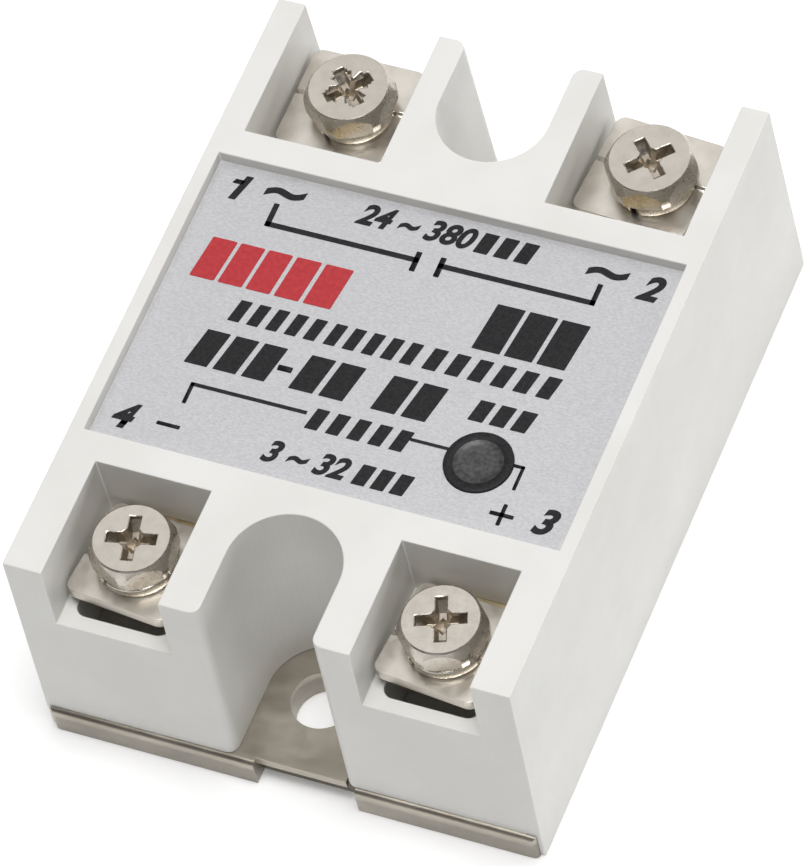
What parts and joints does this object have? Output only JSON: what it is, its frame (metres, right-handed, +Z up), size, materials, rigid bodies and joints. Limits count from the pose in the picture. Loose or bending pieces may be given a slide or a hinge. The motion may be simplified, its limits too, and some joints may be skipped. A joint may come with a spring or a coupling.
{
  "type": "solid state relay",
  "caption": "Panel-mount solid state relay: white block housing on a metal base plate, with corner clamp terminals, a silver label and an indicator window.",
  "frame": {"origin": "centre of the underside of the base plate", "axes": "+Z up through the label, +Y along the length towards output terminals 1 and 2, +X across the width with terminals 2 and 3 on its side"},
  "size_m": [0.045, 0.0626, 0.0234],
  "materials": {
    "housing_plastic": "white moulded thermoplastic, satin",
    "base_plate_nickel": "stamped aluminium plate, dull nickel finish",
    "label_foil": "fine brushed silver label",
    "lens_grey": "smoked translucent plastic",
    "lamp_red": "red diffused lamp",
    "board_green": "glass-epoxy board with green mask",
    "package_black": "moulded component package",
    "pad_ceramic": "alumina",
    "resistor_body": "lacquered resistor body",
    "resistor_body_blue": "lacquered metal-film resistor body",
    "capacitor_body": "dipped film capacitor",
    "resin_dark": "cast epoxy resin",
    "tab_brass": "tinned brass strip",
    "clamp_nickel": "stamped steel, nickel plated",
    "washer_nickel": "spring steel, nickel plated",
    "screw_nickel": "steel, nickel plated"
  },
  "bodies": {
    "root": {"housing": "housing_plastic", "base_plate": "base_plate_nickel", "front_label": "label_foil", "indicator_lens": "lens_grey", "indicator_led": "lamp_red", "circuit_board": "board_green", "triac": "package_black", "insulating_pad": "pad_ceramic", "optocoupler": "package_black", "input_transistor": "package_black", "input_resistors": "resistor_body", "gate_resistors": "resistor_body_blue", "protection_diode": "package_black", "snubber_capacitor": "capacitor_body", "potting_resin": "resin_dark", "terminal_tab_1": "tab_brass", "terminal_tab_2": "tab_brass", "terminal_tab_3": "tab_brass", "terminal_tab_4": "tab_brass"},
    "clamp_1": {"clamp_plate_1": "clamp_nickel", "spring_washer_1": "washer_nickel"},
    "screw_1": {"terminal_screw_1": "screw_nickel"},
    "clamp_2": {"clamp_plate_2": "clamp_nickel", "spring_washer_2": "washer_nickel"},
    "screw_2": {"terminal_screw_2": "screw_nickel"},
    "clamp_3": {"clamp_plate_3": "clamp_nickel", "spring_washer_3": "washer_nickel"},
    "screw_3": {"terminal_screw_3": "screw_nickel"},
    "clamp_4": {"clamp_plate_4": "clamp_nickel", "spring_washer_4": "washer_nickel"},
    "screw_4": {"terminal_screw_4": "screw_nickel"}
  },
  "joints": [
    {"name": "clamp_1_lift", "type": "slide", "parent": "root", "child": "clamp_1", "axis": [0, 0, 1], "range_m": [0, 0.00315]},
    {"name": "screw_1_turn", "type": "hinge", "parent": "clamp_1", "child": "screw_1", "pos_m": [-0.0138, 0.0237, 0.0194], "axis": [0, 0, 1], "range_deg": [0, 1620.1]},
    {"name": "clamp_2_lift", "type": "slide", "parent": "root", "child": "clamp_2", "axis": [0, 0, 1], "range_m": [0, 0.00315]},
    {"name": "screw_2_turn", "type": "hinge", "parent": "clamp_2", "child": "screw_2", "pos_m": [0.0138, 0.0237, 0.0194], "axis": [0, 0, 1], "range_deg": [0, 1620.1]},
    {"name": "clamp_3_lift", "type": "slide", "parent": "root", "child": "clamp_3", "axis": [0, 0, 1], "range_m": [0, 0.00315]},
    {"name": "screw_3_turn", "type": "hinge", "parent": "clamp_3", "child": "screw_3", "pos_m": [0.0138, -0.0237, 0.0194], "axis": [0, 0, 1], "range_deg": [0, 1620.1]},
    {"name": "clamp_4_lift", "type": "slide", "parent": "root", "child": "clamp_4", "axis": [0, 0, 1], "range_m": [0, 0.00315]},
    {"name": "screw_4_turn", "type": "hinge", "parent": "clamp_4", "child": "screw_4", "pos_m": [-0.0138, -0.0237, 0.0194], "axis": [0, 0, 1], "range_deg": [0, 1620.1]}
  ],
  "couplings": [
    {"joint": "screw_1_turn", "follows": "clamp_1_lift", "rad_per_m": 8976},
    {"joint": "screw_2_turn", "follows": "clamp_2_lift", "rad_per_m": 8976},
    {"joint": "screw_3_turn", "follows": "clamp_3_lift", "rad_per_m": 8976},
    {"joint": "screw_4_turn", "follows": "clamp_4_lift", "rad_per_m": 8976}
  ]
}
